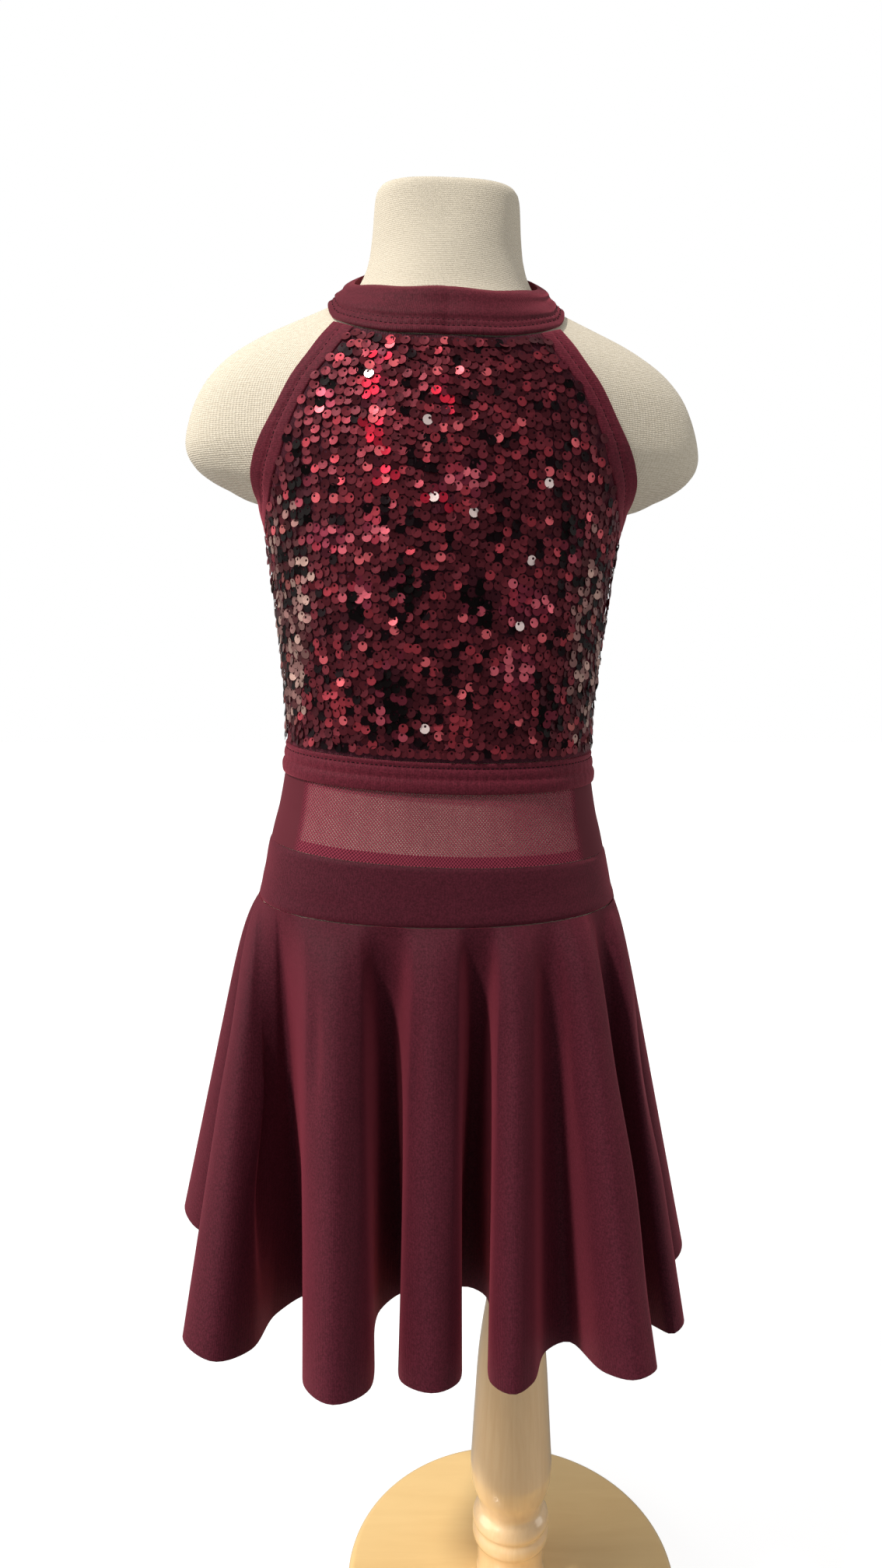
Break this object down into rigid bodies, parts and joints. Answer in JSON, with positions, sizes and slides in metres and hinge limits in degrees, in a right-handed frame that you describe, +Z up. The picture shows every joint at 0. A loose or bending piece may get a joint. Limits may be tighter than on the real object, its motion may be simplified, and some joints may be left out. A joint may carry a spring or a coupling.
{
  "type": "jazz dance dress on a limbless dress form",
  "caption": "Child's halter dance dress with sequinned bodice, mesh midriff and circle skirt, on a limbless linen dress form with a turned wooden stem and round base.",
  "frame": {"origin": "centre of the round base's underside, on the stem's axis", "axes": "+Z up, the dress's front faces -Y, its left side (as worn) faces +X"},
  "size_m": [0.3495, 0.3491, 0.9464],
  "materials": {
    "wood": "clear lacquered pale hardwood, satin",
    "linen": "natural linen stretched over the form, matte",
    "jersey": "burgundy stretch jersey with a soft sheen",
    "trim": "burgundy folded jersey trim, soft sheen",
    "sequin_net": "burgundy net covered in round sequins, glossy",
    "power_mesh": "sheer burgundy power mesh, matte"
  },
  "bodies": {
    "root": {"form_base": "wood", "form_stem": "wood", "dress_form": "linen", "collar": "jersey", "bodice_front": "sequin_net", "bodice_back": "jersey", "armhole_binding_left": "trim", "armhole_binding_right": "trim", "waist_band": "trim", "midriff_mesh": "power_mesh", "yoke": "jersey", "skirt": "jersey"}
  },
  "joints": []
}
